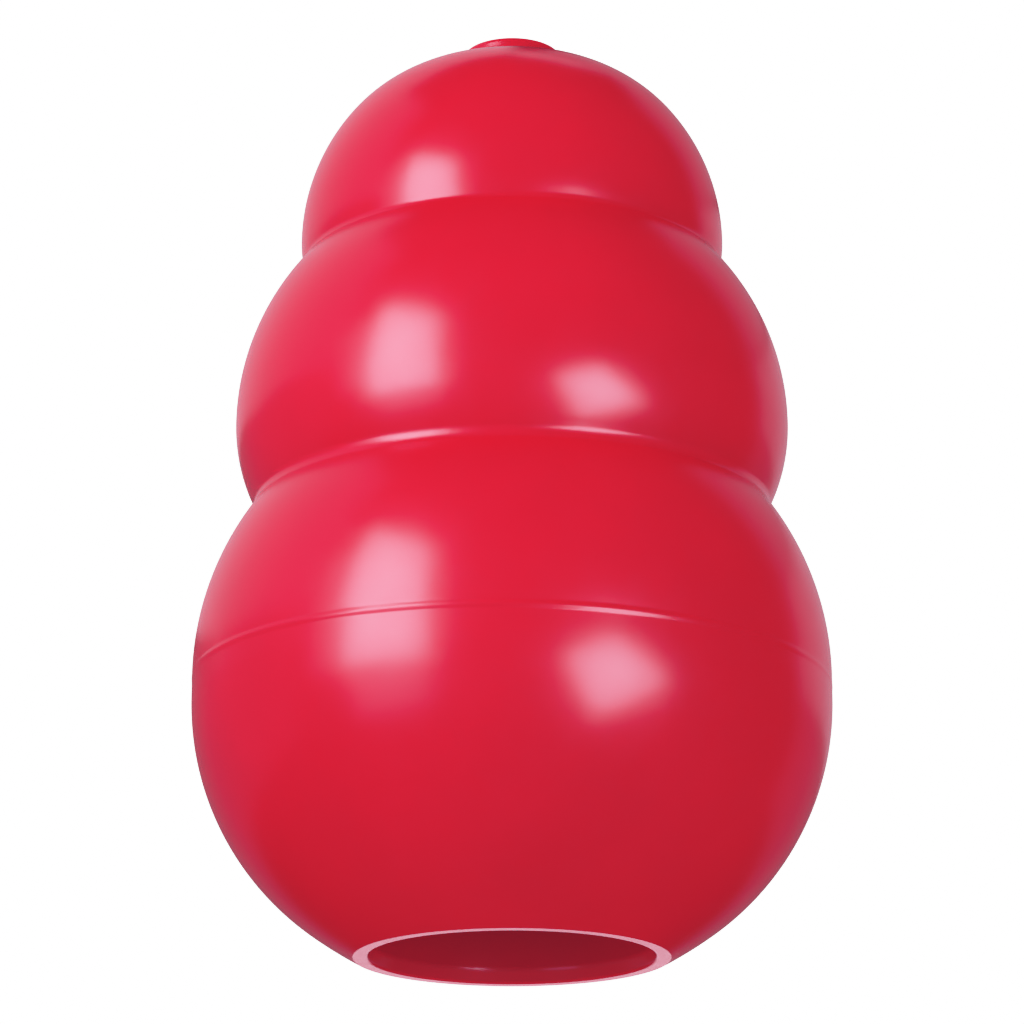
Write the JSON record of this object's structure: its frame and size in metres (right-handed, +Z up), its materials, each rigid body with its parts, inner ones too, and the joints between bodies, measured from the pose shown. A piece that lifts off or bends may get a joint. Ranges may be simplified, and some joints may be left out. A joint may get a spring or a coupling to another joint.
{
  "type": "hollow rubber chew toy",
  "caption": "Hollow moulded rubber chew toy of stacked round lobes that shrink upwards, with a wide mouth in its flat-rimmed base and a small collared hole at the top.",
  "frame": {"origin": "centre of the flat rim round the mouth, on the plane that the toy stands on", "axes": "+Z up along the toy's axis, from the mouth to the small top hole; the toy is round about Z, so +X and +Y are any two level directions"},
  "size_m": [0.0702, 0.0702, 0.105],
  "materials": {
    "red_rubber": "smooth semi-gloss moulded natural rubber"
  },
  "bodies": {
    "root": {"mouth_lip": "red_rubber", "base_bowl": "red_rubber", "base_shoulder": "red_rubber", "middle_lobe": "red_rubber", "top_lobe": "red_rubber", "top_collar": "red_rubber"}
  },
  "joints": []
}
